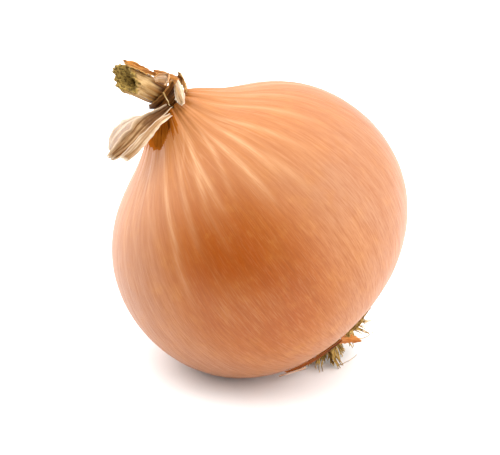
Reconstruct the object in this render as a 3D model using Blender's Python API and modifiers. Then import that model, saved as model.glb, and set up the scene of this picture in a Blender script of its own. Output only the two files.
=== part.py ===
"""Brown onion lying on its side, as one solid per physical piece. Metres, +Z up.

The bulb is drawn in its own frame, neck along +Z, and then leaned over so that it
rests on a small flat spot centred on the origin. Everything that grows from the neck
or the root end is drawn in that same bulb frame and is a child of the bulb.
"""
from math import atan2, cos, exp, pi, radians, sin, sqrt, tanh

import bmesh
import bpy
from mathutils import Matrix, Vector

# bulb
BULB_RADIUS = 0.03975         # half the widest diameter
NECK_HALF = 0.0341            # centre to neck side, along the bulk axis
ROOT_HALF = 0.0322            # centre to root side, along the bulk axis
BULK_LEAN = radians(8.7)      # the fleshy bulk is lopsided by this much to the neck
FULLNESS = 0.036              # how far the shoulders bulge beyond an ellipse
BULK_OFFSET = 0.0002          # bulk set off from the neck axis, along +X
NECK_RISE = 0.0078            # neck cone above the shoulder
NECK_SPREAD = radians(18.2)
NECK_OFFSET = 0.0013          # neck set off from the bulk, along +X
THROAT_DEPTH = 0.0062         # hollow that the dry stem stands in
THROAT_SPREAD = radians(4.9)
ROOT_DISH = 0.0016            # dimple round the root plate
ROOT_SPREAD = radians(13)
PLEATS = 17
PLEAT_DEPTH = 0.00032

# how it lies
LEAN = radians(35)            # neck away from upright, toward -X
REST_CUT = 0.0017             # flat pressed into the underside
BULB_HEIGHT = 0.03689 - REST_CUT
BULB_SHIFT = 0.0062           # bulb centre from the middle of the flat

ROOT_PLATE = Vector((0.0003, 0, -0.0331))
SKIN = 0.0004                 # dry skin, in the weight it is drawn at
UP = Vector((0, 0, 1))


def start_scene():
    for obj in list(bpy.data.objects):
        bpy.data.objects.remove(obj, do_unlink=True)
    onion = bpy.data.collections.new("onion")
    cutters = bpy.data.collections.new("cutters")
    for group in (onion, cutters):
        bpy.context.scene.collection.children.link(group)
    return onion, cutters


def dry_material(name, colour, roughness):
    mat = bpy.data.materials.new(name)
    mat.use_nodes = True
    shader = mat.node_tree.nodes["Principled BSDF"]
    shader.inputs["Base Color"].default_value = (*colour, 1)
    shader.inputs["Roughness"].default_value = roughness
    shader.inputs["Metallic"].default_value = 0.0
    return mat


def keep_mesh(bm, name, group, material, parent=None):
    bmesh.ops.recalc_face_normals(bm, faces=bm.faces)
    mesh = bpy.data.meshes.new(name)
    bm.to_mesh(mesh)
    bm.free()
    mesh.shade_smooth()
    mesh.set_sharp_from_angle(angle=radians(50))
    obj = bpy.data.objects.new(name, mesh)
    obj.data.materials.append(material)
    obj.parent = parent
    group.objects.link(obj)
    return obj


def between(points, t):
    """Point at t (0 to 1) on a smooth curve through the given points."""
    place = t * (len(points) - 1)
    i = min(int(place), len(points) - 2)
    f = place - i
    a = points[max(i - 1, 0)]
    b = points[i]
    c = points[i + 1]
    d = points[min(i + 2, len(points) - 1)]
    return 0.5 * (2 * b + (c - a) * f + (2 * a - 5 * b + 4 * c - d) * f ** 2
                  + (3 * b - a - 3 * c + d) * f ** 3)


def heading(points, t):
    step = 0.01
    ahead = between(points, min(t + step, 1))
    behind = between(points, max(t - step, 0))
    return (ahead - behind).normalized()


def mm(*triples):
    return [Vector(triple) / 1000 for triple in triples]


# ---------------------------------------------------------------- bulb

def bulb_point(down, turn):
    """Skin point at an angle down from the neck and a turn round it."""
    ray = Vector((sin(down) * cos(turn), sin(down) * sin(turn), cos(down)))
    bulk_axis = Vector((-sin(BULK_LEAN), 0, cos(BULK_LEAN)))
    h = ray.dot(bulk_axis)
    neckward = (1 + tanh(3 * h)) / 2
    half = ROOT_HALF + (NECK_HALF - ROOT_HALF) * neckward
    reach = 1 / sqrt(h * h / half ** 2 + (1 - h * h) / BULB_RADIUS ** 2)
    reach *= 1 + 4 * FULLNESS * h * h * (1 - h * h)
    cone = exp(-(down / NECK_SPREAD) ** 2)
    throat = exp(-(down / THROAT_SPREAD) ** 4)
    dish = exp(-((pi - down) / ROOT_SPREAD) ** 2)
    pleat = cos(PLEATS * turn + 1.3 * sin(3 * turn)) * exp(-(down / radians(26)) ** 2)
    reach += NECK_RISE * cone - THROAT_DEPTH * throat - ROOT_DISH * dish
    reach += PLEAT_DEPTH * pleat * (1 - throat) * min(1, down / radians(8))
    aside = BULK_OFFSET + NECK_OFFSET * exp(-(down / radians(16)) ** 2)
    return ray * reach + Vector((aside, 0, 0))


def on_bulb(*places):
    """Points over the skin: degrees down from the neck, degrees round, mm clear of it."""
    points = []
    for down, turn, clear in places:
        spot = bulb_point(radians(down), radians(turn))
        points.append(spot + spot.normalized() * clear / 1000)
    return points


def make_bulb(onion, cutters):
    bm = bmesh.new()
    bmesh.ops.create_uvsphere(bm, u_segments=68, v_segments=40, radius=1)
    for v in bm.verts:
        down = atan2(sqrt(v.co.x ** 2 + v.co.y ** 2), v.co.z)
        down -= 0.36 * sin(2 * down)          # closer rings at neck and root
        v.co = bulb_point(down, atan2(v.co.y, v.co.x))
    skin = dry_material("onion_skin", (0.72, 0.24, 0.055), 0.42)
    bulb = keep_mesh(bm, "bulb", onion, skin)
    bulb.rotation_euler = (0, -LEAN, 0)
    bulb.location = (BULB_SHIFT, 0, BULB_HEIGHT)
    floor = bmesh.new()
    bmesh.ops.create_cube(floor, size=0.1, matrix=Matrix.Translation((0, 0, -0.05)))
    block = keep_mesh(floor, "rest_cutter", cutters, skin)
    block.hide_render = True
    block.display_type = "WIRE"
    cut = bulb.modifiers.new("rest_flat", "BOOLEAN")
    cut.operation = "DIFFERENCE"
    cut.solver = "EXACT"
    cut.object = block
    return bulb


# ---------------------------------------------------------------- neck

def make_stem(onion, bulb):
    """Cut leaf stem: a ribbed tube, closed at the foot, hollow at the cut end."""
    path = mm((1.3, -0.3, 39.6), (1.4, -1.3, 43.0), (0.1, -3.1, 47.0),
              (-1.5, -4.5, 51.0), (-3.5, -5.9, 55.2))
    outer = [(0.00, 1.2), (0.0, 2.1), (0.12, 2.4), (0.3, 2.7), (0.5, 2.85),
             (0.7, 2.9), (0.85, 2.85), (0.95, 2.75), (1.0, 2.4)]
    inner = [(0.97, 1.8), (0.88, 1.5), (0.78, 1.1), (0.74, 0.6)]
    profile = [(t, r / 1000) for t, r in outer + inner]
    profile = [(0.0, 0.0)] + profile + [(0.73, 0.0)]
    bm = bmesh.new()
    line = [bm.verts.new((r, 0, t)) for t, r in profile]
    edges = [bm.edges.new(pair) for pair in zip(line, line[1:])]
    bmesh.ops.spin(bm, geom=line + edges, cent=(0, 0, 0), axis=(0, 0, 1),
                   angle=2 * pi, steps=26, use_merge=True)
    bmesh.ops.remove_doubles(bm, verts=bm.verts, dist=1e-6)
    for v in bm.verts:
        turn = atan2(v.co.y, v.co.x)
        t = v.co.z
        rib = 1 + 0.06 * cos(7 * turn + 2 * t) + 0.05 * cos(2 * turn + 1)
        ragged = 0.05 * cos(5 * turn) * max(0, (t - 0.7) / 0.3)
        t = min(t + ragged * t, 1.06)
        ahead = heading(path, min(t, 1))
        side = ahead.cross(Vector((0, 1, 0))).normalized()
        lift = side.cross(ahead)
        beyond = ahead * max(0, t - 1) * 0.017
        centre = between(path, min(t, 1)) + beyond
        v.co = centre + (side * v.co.x + lift * v.co.y) * rib
    straw = dry_material("stem_straw", (0.62, 0.45, 0.18), 0.6)
    return keep_mesh(bm, "neck_stem", onion, straw, bulb)


def skin_sheet(name, path, sides, widths, cup, ripple, material, home, steps=10, across=4):
    """Dry skin strip: a sheet run along a path, given its width and side direction."""
    onion, bulb = home
    bm = bmesh.new()
    bmesh.ops.create_grid(bm, x_segments=steps, y_segments=across, size=1)
    for v in bm.verts:
        t = (v.co.x + 1) / 2
        s = v.co.y
        end_jag = 0.05 * sin(9 * s + 2 * t) * (t > 0.9)
        t = min(max(t + end_jag, 0), 1)
        side = between(sides, t).normalized()
        face = heading(path, t).cross(side).normalized()
        half = between(widths, t).x / 2
        wave = cup * s * s + ripple * sin(11 * t + 2.3 * s)
        v.co = between(path, t) + side * s * half + face * wave
    sheet = keep_mesh(bm, name, onion, material, bulb)
    shell = sheet.modifiers.new("skin", "SOLIDIFY")
    shell.thickness = SKIN
    shell.offset = 0
    return sheet


def strip_widths(*values):
    return [Vector((value / 1000, 0, 0)) for value in values]


def make_neck_skins(onion, bulb):
    home = (onion, bulb)
    rust = dry_material("neck_rust_skin", (0.60, 0.22, 0.06), 0.55)
    tan = dry_material("neck_tan_skin", (0.66, 0.36, 0.15), 0.55)
    silver = dry_material("neck_silver_skin", (0.78, 0.66, 0.52), 0.5)
    skin_sheet("neck_skin_top",
               mm((-0.3, -5.7, 57.2), (1.3, -5.1, 54.6), (2.6, -4.3, 51.8), (3.4, -3.5, 49.6)),
               mm((0.1, -1, -0.3), (0.1, -1, -0.3), (0, -1, -0.3), (0, -1, -0.3)),
               strip_widths(1.8, 3.2, 3.0, 1.6), 0.0003, 0.0002, rust, home)
    skin_sheet("neck_skin_back",
               mm((3.0, -0.1, 50.0), (3.9, 0.9, 48.2), (4.9, 2.0, 46.4), (5.8, 3.0, 44.6),
                  (6.8, 3.9, 43.0)),
               mm((0.1, 1, 0.2), (0.1, 1, 0.2), (0, 1, 0.2), (-0.1, 1, 0.2), (-0.2, 1, 0.2)),
               strip_widths(2.0, 3.4, 4.0, 4.2, 3.0), -0.0006, 0.0002, tan, home)
    skin_sheet("neck_skin_curl",
               mm((3.0, -5.5, 49.3), (4.4, -5.3, 48.7), (5.6, -5.1, 47.3), (4.8, -6.3, 46.4)),
               mm((0.4, -0.5, 1), (0.6, -0.2, 1), (1, 0.1, 0.8), (1, 0.3, 0.2)),
               strip_widths(1.4, 2.6, 2.8, 1.2), 0.0004, 0.0002, silver, home)
    skin_sheet("neck_skin_silver",
               mm((6.4, -4.4, 45.2), (6.2, -5.8, 43.8), (5.9, -7.0, 42.2), (5.5, -8.0, 40.6)),
               mm((1, 1, 0.5), (1, 0.9, 0.3), (1, 0.7, 0.1), (1, 0.6, 0)),
               strip_widths(2.6, 3.4, 2.8, 0.8), -0.0004, 0.0001, silver, home)
    skin_sheet("neck_skin_rim",
               mm((6.6, 1.3, 45.8), (7.3, 0.3, 44.6), (7.3, -1.2, 43.4), (7.0, -2.6, 42.6)),
               mm((0.3, 0.2, 1), (0.3, 0.1, 1), (0.3, 0, 1), (0.3, -0.1, 1)),
               strip_widths(1.2, 2.6, 2.6, 1.0), -0.0002, 0.0001, tan, home, across=3)
    umber = dry_material("throat_umber_skin", (0.16, 0.09, 0.05), 0.65)
    ring = [radians(angle) for angle in (-200, -165, -130, -95, -60, -25, 0)]
    skin_sheet("throat_skin",
               mm(*((1.3 + 4.0 * cos(a), -1.5 + 4.0 * sin(a), 43.3) for a in ring)),
               mm(*((0.3 * cos(a) - 0.1, 0.3 * sin(a) - 0.35, 1) for a in ring)),
               strip_widths(1.6, 2.6, 3.0, 2.8, 3.2, 2.8, 1.6), 0.0001, 0.0001, umber, home,
               steps=20)


def make_hanging_skins(onion, bulb):
    home = (onion, bulb)
    brown = dry_material("hanging_brown_skin", (0.50, 0.29, 0.13), 0.55)
    cream = dry_material("hanging_cream_skin", (0.72, 0.55, 0.34), 0.5)
    pale = dry_material("hanging_pale_skin", (0.86, 0.70, 0.54), 0.45)
    skin_sheet("hanging_strip",
               mm((0.6, -6.7, 42.0), (-1.7, -7.4, 42.6), (-4.2, -8.6, 43.0),
                  (-7.8, -10.3, 42.5), (-12.1, -12.0, 41.7), (-16.4, -12.4, 41.0)),
               mm((0.9, -0.5, -1.2), (0.6, -0.7, -1), (0.4, -0.8, -1),
                  (0.5, -0.6, -1), (0.6, -0.5, -1), (0.6, -0.5, -1)),
               strip_widths(2.4, 3.8, 4.6, 4.6, 3.8, 1.2), 0.0010, 0.00015, brown, home,
               steps=16, across=6)
    skin_sheet("hanging_fold",
               mm((1.6, -8.7, 40.3), (-1.2, -11.1, 40.9), (-4.4, -13.3, 40.6),
                  (-8.8, -15.0, 39.8), (-12.9, -15.5, 39.3)),
               mm((0.3, -0.5, -1), (0.3, -0.5, -1), (0.4, -0.5, -1), (0.5, -0.5, -1),
                  (0.5, -0.5, -1)),
               strip_widths(0.9, 1.6, 2.2, 2.8, 2.2), 0.0003, 0.0001, cream, home,
               steps=14, across=3)
    skin_sheet("hanging_film",
               mm((-4.9, -6.7, 43.6), (-7.9, -7.2, 44.2), (-11.1, -7.9, 44.2),
                  (-14.1, -8.8, 43.2), (-16.0, -9.6, 41.9)),
               mm((-0.2, -0.7, -1), (-0.2, -0.7, -1), (-0.1, -0.7, -1),
                  (0, -0.6, -1), (0.1, -0.5, -1)),
               strip_widths(1.2, 3.2, 4.0, 3.6, 1.4), -0.0005, 0.0002, pale, home, across=5)


def strand(name, points, thickness, material, home, sides=2):
    """Dried root or fibre: a round strand, thickest where it starts."""
    onion, bulb = home
    curve = bpy.data.curves.new(name, "CURVE")
    curve.dimensions = "3D"
    curve.bevel_depth = thickness / 2
    curve.bevel_resolution = sides
    curve.use_fill_caps = True
    curve.resolution_u = 1
    line = curve.splines.new("POLY")
    joints = 3 * (len(points) - 1)
    line.points.add(joints)
    for i in range(joints + 1):
        t = i / joints
        line.points[i].co = (*between(points, t), 1)
        line.points[i].radius = 1 - 0.6 * t
    curve.materials.append(material)
    obj = bpy.data.objects.new(name, curve)
    obj.parent = bulb
    onion.objects.link(obj)
    return obj


def make_neck_fibres(onion, bulb):
    home = (onion, bulb)
    straw = dry_material("fibre_straw", (0.80, 0.66, 0.42), 0.6)
    strand("neck_fibre_1", mm((-2.9, -9.2, 50.0), (-5.4, -9.4, 51.0), (-8.0, -9.4, 51.4)),
           0.0004, straw, home, sides=1)
    strand("neck_fibre_2", mm((3.0, -6.6, 45.6), (2.8, -7.2, 43.8), (2.5, -7.4, 42.1)),
           0.0006, straw, home, sides=1)


# ---------------------------------------------------------------- root end

def make_root_plate(onion, bulb):
    """Hard basal plate that the roots grow from: a low rough button."""
    bm = bmesh.new()
    bmesh.ops.create_uvsphere(bm, u_segments=22, v_segments=10, radius=1)
    for v in bm.verts:
        turn = atan2(v.co.y, v.co.x)
        rough = 1 + 0.07 * cos(6 * turn) + 0.05 * sin(4 * turn + 9 * v.co.z)
        v.co = Vector((v.co.x * 0.0052 * rough, v.co.y * 0.0052 * rough, v.co.z * 0.0011))
        v.co += ROOT_PLATE
    cork = dry_material("root_plate_cork", (0.30, 0.19, 0.09), 0.8)
    return keep_mesh(bm, "root_plate", onion, cork, bulb)


def make_roots(onion, bulb):
    home = (onion, bulb)
    khaki = dry_material("root_khaki", (0.42, 0.33, 0.15), 0.75)
    tufts = [  # turn round the plate and distance from its middle, then the tip, in mm
        (31, 4.0, (7.0, 4.2, -37.7)), (0, 2.6, (5.6, 1.2, -38.9)),
        (-40, 3.8, (3.0, -1.4, -39.4)), (-95, 2.0, (-0.8, -2.3, -40.4)),
        (-104, 4.4, (-1.8, -7.8, -39.2)), (-122, 3.8, (-4.9, -6.9, -38.0)),
        (-145, 4.6, (-7.3, -8.4, -36.4)), (180, 3.4, (-7.4, -1.0, -36.6)),
        (135, 4.2, (-5.4, 5.0, -37.0)), (96, 4.0, (-0.8, 7.6, -37.0)),
        (62, 3.0, (2.6, 5.4, -38.8)),
    ]
    for i, (turn, start, tip) in enumerate(tufts):
        way = Vector((cos(radians(turn)), sin(radians(turn)), 0)) / 1000
        foot = ROOT_PLATE - UP * 0.0018 + way * start
        end = Vector(tip) / 1000
        knee = (foot + end) / 2 + way * 0.5
        strand(f"root_{i + 1:02d}", [foot, knee, end], 0.0011, khaki, home)
    strand("root_hair_1",
           mm((3.6, -0.6, -39.9), (4.9, 0.2, -41.2), (6.8, 0.6, -41.5), (8.7, 1.3, -41.3)),
           0.0005, khaki, home, sides=1)
    strand("root_hair_2",
           mm((-2.9, -5.0, -37.6), (-3.0, -8.9, -39.4), (-0.3, -9.2, -40.2), (2.4, -7.2, -40.8)),
           0.0005, khaki, home, sides=1)


def make_base_skins(onion, bulb):
    home = (onion, bulb)
    orange = dry_material("base_orange_skin", (0.68, 0.25, 0.06), 0.5)
    pink = dry_material("base_pale_skin", (0.80, 0.52, 0.36), 0.45)
    skin_sheet("base_skin_orange",
               mm((1.6, -8.0, -34.3), (2.2, -5.6, -36.2), (3.2, -4.0, -38.0), (4.6, -2.9, -40.2)),
               mm((1, 0.5, 0.1), (1, 0.5, 0.1), (1, 0.6, 0.2), (1, 0.6, 0.2)),
               strip_widths(4.4, 3.6, 2.8, 0.9), -0.0004, 0.0001, orange, home, steps=8)
    skin_sheet("base_skin_rim",
               on_bulb((151, -78, 1.35), (151, -88, 1.35), (150, -98, 1.3), (148, -107, 1.2),
                       (145, -116, 1.1), (142, -123, 0.9)),
               mm((-0.1, 0.55, -0.8), (0, 0.55, -0.8), (0.1, 0.55, -0.8), (0.15, 0.5, -0.8),
                  (0.2, 0.45, -0.85), (0.25, 0.4, -0.85)),
               strip_widths(1.4, 2.4, 2.6, 2.4, 1.8, 0.8), 0.0002, 0.0001, orange, home,
               steps=14, across=3)
    skin_sheet("base_skin_pale",
               mm((-15.4, -15.8, -30.6), (-13.1, -15.0, -31.8), (-10.9, -13.6, -33.1),
                  (-9.4, -12.4, -34.1)),
               mm((0.3, 0.7, -0.4), (0.3, 0.7, -0.4), (0.3, 0.7, -0.4), (0.3, 0.7, -0.4)),
               strip_widths(0.8, 2.0, 2.0, 0.6), 0.0003, 0.0001, pink, home, steps=8)


onion_pieces, cutter_pieces = start_scene()
bulb_body = make_bulb(onion_pieces, cutter_pieces)
make_stem(onion_pieces, bulb_body)
make_neck_skins(onion_pieces, bulb_body)
make_hanging_skins(onion_pieces, bulb_body)
make_neck_fibres(onion_pieces, bulb_body)
make_root_plate(onion_pieces, bulb_body)
make_roots(onion_pieces, bulb_body)
make_base_skins(onion_pieces, bulb_body)
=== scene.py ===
from math import atan2, cos, exp, pi, radians, sin, sqrt, tanh

import bmesh
import bpy
from mathutils import Matrix, Vector, noise


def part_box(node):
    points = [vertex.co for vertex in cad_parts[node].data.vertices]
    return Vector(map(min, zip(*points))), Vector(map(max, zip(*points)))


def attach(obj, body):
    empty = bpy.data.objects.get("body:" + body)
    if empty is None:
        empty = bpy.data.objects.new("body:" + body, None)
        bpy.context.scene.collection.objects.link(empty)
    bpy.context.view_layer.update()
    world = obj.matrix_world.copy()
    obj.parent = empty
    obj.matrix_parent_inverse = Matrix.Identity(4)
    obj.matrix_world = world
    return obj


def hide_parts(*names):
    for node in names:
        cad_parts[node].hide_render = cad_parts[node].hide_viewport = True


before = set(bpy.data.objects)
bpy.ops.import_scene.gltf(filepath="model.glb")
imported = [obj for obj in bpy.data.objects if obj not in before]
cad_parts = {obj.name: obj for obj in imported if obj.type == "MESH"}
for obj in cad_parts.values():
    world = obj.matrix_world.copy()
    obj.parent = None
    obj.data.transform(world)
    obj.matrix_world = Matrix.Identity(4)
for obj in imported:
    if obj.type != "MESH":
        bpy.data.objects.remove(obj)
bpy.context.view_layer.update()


# ---------------------------------------------------------------- table, light and eye
# The onion lies on a plain white card inside a white light tent. The card ends just in
# front of the onion; the tent glows all round but for a dark opening round the eye.

table_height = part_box("bulb")[0][2]
table_half = 1.0
table_front = -0.12
eye_tilt = radians(22)
eye_distance = 0.3584
aim = Vector((0.0036, 0.0003, 0.0360))


def white_table():
    bm = bmesh.new()
    bmesh.ops.create_grid(bm, x_segments=1, y_segments=1, size=table_half)
    mesh = bpy.data.meshes.new("table_top")
    bm.to_mesh(mesh)
    bm.free()
    table = bpy.data.objects.new("table_top", mesh)
    table.location = (0, table_front + table_half, table_height)
    bpy.context.scene.collection.objects.link(table)
    card = bpy.data.materials.new("white_card")
    card.use_nodes = True
    shader = card.node_tree.nodes["Principled BSDF"]
    shader.inputs["Base Color"].default_value = (0.9, 0.9, 0.9, 1)
    shader.inputs["Roughness"].default_value = 0.9
    shader.inputs["Specular IOR Level"].default_value = 0.1
    mesh.materials.append(card)
    return table


def light_tent():
    tent = bpy.data.worlds.new("light_tent")
    tent.use_nodes = True
    tree = tent.node_tree
    tree.nodes.clear()
    link = tree.links.new
    out = tree.nodes.new("ShaderNodeOutputWorld")
    look = tree.nodes.new("ShaderNodeTexCoord")
    toward = tree.nodes.new("ShaderNodeVectorMath")
    toward.operation = "DOT_PRODUCT"
    toward.inputs[1].default_value = Vector((0.45, 0.89, 0.06)).normalized()
    swing = tree.nodes.new("ShaderNodeMapRange")
    swing.interpolation_type = "SMOOTHSTEP"
    swing.inputs["From Min"].default_value = -0.97
    swing.inputs["From Max"].default_value = -0.12
    swing.inputs["To Min"].default_value = 0.05
    swing.inputs["To Max"].default_value = 4.3
    fade = tree.nodes.new("ShaderNodeMapRange")
    fade.interpolation_type = "SMOOTHSTEP"
    fade.inputs["From Min"].default_value = 0.5
    fade.inputs["From Max"].default_value = 0.9
    fade.inputs["To Min"].default_value = 1.0
    fade.inputs["To Max"].default_value = 0.45
    both = tree.nodes.new("ShaderNodeMath")
    both.operation = "MULTIPLY"
    glow = tree.nodes.new("ShaderNodeBackground")
    plain = tree.nodes.new("ShaderNodeBackground")
    plain.inputs["Color"].default_value = (1, 1, 1, 1)
    plain.inputs["Strength"].default_value = 1.05
    seen = tree.nodes.new("ShaderNodeLightPath")
    pick = tree.nodes.new("ShaderNodeMixShader")
    link(look.outputs["Generated"], toward.inputs[0])
    link(toward.outputs["Value"], swing.inputs["Value"])
    link(toward.outputs["Value"], fade.inputs["Value"])
    link(swing.outputs["Result"], both.inputs[0])
    link(fade.outputs["Result"], both.inputs[1])
    link(both.outputs[0], glow.inputs["Strength"])
    link(seen.outputs["Is Camera Ray"], pick.inputs["Fac"])
    link(glow.outputs[0], pick.inputs[1])
    link(plain.outputs[0], pick.inputs[2])
    link(pick.outputs[0], out.inputs["Surface"])
    bpy.context.scene.world = tent


def soft_window(name, place, size, power, tint):
    lamp = bpy.data.lights.new(name, "AREA")
    lamp.shape = "DISK"
    lamp.size = size
    lamp.energy = power
    lamp.color = tint
    lamp.specular_factor = 0.4
    holder = bpy.data.objects.new(name, lamp)
    holder.location = place
    holder.rotation_euler = (aim - Vector(place)).to_track_quat("-Z", "Y").to_euler()
    bpy.context.scene.collection.objects.link(holder)


def eye():
    lens = bpy.data.cameras.new("eye")
    lens.lens = 100
    lens.sensor_width = 36
    lens.clip_start = 0.01
    lens.clip_end = 20
    holder = bpy.data.objects.new("eye", lens)
    back = Vector((0, -cos(eye_tilt), sin(eye_tilt)))
    holder.location = aim + back * eye_distance
    holder.rotation_euler = (pi / 2 - eye_tilt, 0, 0)
    bpy.context.scene.collection.objects.link(holder)
    bpy.context.scene.camera = holder


bpy.context.scene.view_settings.view_transform = "Standard"
bpy.context.scene.view_settings.look = "None"
white_table()
light_tent()
soft_window("window", (-0.35, -0.15, 0.80), 0.9, 0.8, (1, 0.98, 0.96))
eye()


# ---------------------------------------------------------------- bulb
# The bulb is its own outer dry skins, wrapped tight over the flesh and drawn into
# pleats at the neck. A torn patch beside the throat shows the darker skin beneath, with
# the hanging strip's shadow painted into its colour, and the outer skin ends in a
# ragged ring round the root end. It lies on a small flat spot.

bulb_radius = 0.03975
neck_half = 0.0341
root_half = 0.0322
bulk_axis = Vector((-sin(radians(8.7)), 0, cos(radians(8.7))))
fullness = 0.036
bulk_offset = 0.0002
neck_rise = 0.0078
neck_spread = radians(18.2)
neck_offset = 0.0013
throat_depth = 0.0062
root_dish = 0.0016
lean = radians(35)
bulb_middle = Vector((0.0062, 0, 0.03519))
bulb_place = Matrix.Translation(bulb_middle) @ Matrix.Rotation(-lean, 4, "Y")


def smooth(low, high, x):
    """0 below low, 1 above high, and an easy slope between."""
    f = min(max((x - low) / (high - low), 0), 1)
    return f * f * (3 - 2 * f)


def round_noise(turn, down, around, along, seed=0):
    """Noise that closes on itself round the bulb; fine round it, long down it."""
    spot = Vector((cos(turn) * around, sin(turn) * around, down * along + seed))
    return noise.noise(spot)


def torn_patch_and_shadow(down, turn):
    """1 where the outer skin is torn away beside the throat. Its soft lower edge is the shadow of the hanging strip,
    painted into the colour.
    """
    swing = (-88 - turn / radians(1)) % 360          # 0 at the clean edge
    if swing > 140:
        return 0.0
    reach = 10 + 8.5 * smooth(-4, 30, swing) - 8.5 * smooth(26, 112, swing)
    reach += 0.9 * noise.noise(Vector((swing * 0.11, 3.1, 0)))
    return 1 - smooth(reach - 3.5 * smooth(26, 70, swing) - 0.4, reach + 0.4, down / radians(1))


def root_ring(down, turn):
    """1 where the outer skin stops short of the root plate."""
    edge = 164.5 + 2.6 * round_noise(turn, 0, 1.7, 0, 4) + 1.3 * round_noise(turn, 0, 6, 0, 9)
    return smooth(edge - 0.3, edge + 0.3, down / radians(1))


pale_streaks = [  # degrees down and round at each end, half width in degrees, strength
    (20, -80, 56, -91, 2.4, 1.0), (26, -83, 60, -85, 2.2, 0.8), (22, -67, 54, -77, 1.7, 0.9),
    (26, -65, 66, -67, 1.9, 0.9), (24, -56, 62, -58, 2.1, 0.8), (20, -48, 62, -42, 2.1, 0.6),
    (28, -96, 66, -101, 1.9, 0.7), (54, -90, 70, -90, 2.4, 0.5), (56, -110, 80, -113, 2.0, 0.5),
    (48, -70, 66, -70, 1.5, 0.5), (50, -55, 74, -54, 1.8, 0.5), (24, -131, 58, -118, 1.7, 0.5),
    (28, -109, 62, -109, 1.9, 0.8), (34, -149, 62, -144, 1.8, 0.3), (25, -145, 60, -133, 1.7, 0.35),
    (16, -80, 34, -95, 1.4, 0.7), (18, -30, 60, -26, 2.0, 0.5), (22, -10, 56, -12, 1.8, 0.4),
    (20, 12, 60, 9, 2.2, 0.6), (24, 31, 58, 35, 1.8, 0.7), (22, 48, 66, 46, 2.0, 0.5),
    (26, 66, 60, 71, 1.7, 0.8), (20, 88, 64, 84, 2.3, 0.6), (28, 104, 62, 108, 1.8, 0.7),
    (22, 126, 58, 121, 2.0, 0.6), (24, 143, 66, 147, 1.8, 0.7), (26, 162, 60, 158, 2.1, 0.6),
    (22, 184, 62, 187, 1.8, 0.7), (30, 200, 66, 203, 1.7, 0.6),
]


def streak_mask(down, turn):
    """How pale the skin is where a stiff vein shows through it."""
    down, turn = down / radians(1), turn / radians(1)
    if not 10 < down < 92:
        return 0.0
    total = 0
    for start, turn_a, end, turn_b, half, strength in pale_streaks:
        f = (down - start) / (end - start)
        off = (turn - turn_a - (turn_b - turn_a) * f + 180) % 360 - 180
        half = 0.72 * half
        if abs(off) < 3 * half:
            ends = smooth(start - 6, start + 12, down) * (1 - smooth(end - 16, end + 8, down))
            total += strength * ends * exp(-(off / half) ** 2)
    return min(total, 1)


def painted_sheen_mask(down, turn):
    """How much pale sheen is painted on the skin; none on one patch facing the eye, which gets painted shade instead.
    """
    down, turn = down / radians(1), turn / radians(1)
    eye_facing_shade = exp(-((turn + 92) / 30) ** 2 - ((down - 84) / 38) ** 2)
    return 1 - eye_facing_shade


def bulb_point(down, turn):
    ray = Vector((sin(down) * cos(turn), sin(down) * sin(turn), cos(down)))
    h = ray.dot(bulk_axis)
    half = root_half + (neck_half - root_half) * (1 + tanh(3 * h)) / 2
    reach = 1 / sqrt(h * h / half ** 2 + (1 - h * h) / bulb_radius ** 2)
    reach *= 1 + 4 * fullness * h * h * (1 - h * h)
    throat = exp(-(down / radians(4.9)) ** 4)
    reach += neck_rise * exp(-(down / neck_spread) ** 2) - throat_depth * throat
    reach -= root_dish * exp(-((pi - down) / radians(13)) ** 2)
    drawn = exp(-(down / radians(24)) ** 2) * (1 - throat) * min(1, down / radians(8))
    pleats = 0.6 * cos(17 * turn + 1.3 * sin(3 * turn)) + 0.9 * round_noise(turn, down, 7, 1.2, 2)
    pleats += 0.55 * round_noise(turn, down, 17, 2.0, 5)
    reach += 0.00036 * pleats * drawn
    reach += 0.00010 * round_noise(turn, down, 9, 0.7, 7) * sin(down)
    reach += 0.00035 * round_noise(turn, down, 1.3, 1.1, 1) * sin(down) ** 2
    rim = exp(-((down / radians(1) - 6.4) / 1.3) ** 2)
    reach += 0.0008 * rim * round_noise(turn, 0, 4.5, 0, 8)
    reach -= 0.00035 * torn_patch_and_shadow(down, turn)
    reach -= 0.00030 * root_ring(down, turn)
    aside = bulk_offset + neck_offset * exp(-(down / radians(16)) ** 2)
    return ray * reach + Vector((aside, 0, 0))


def add_mask(mesh, name, values):
    mesh.attributes.new(name, "FLOAT", "POINT").data.foreach_set("value", values)


def add_run(mesh, places):
    """Where each point is along and across the fibres, in millimetres."""
    flat = [number for place in places for number in place]
    mesh.attributes.new("run", "FLOAT_VECTOR", "POINT").data.foreach_set("vector", flat)


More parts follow.
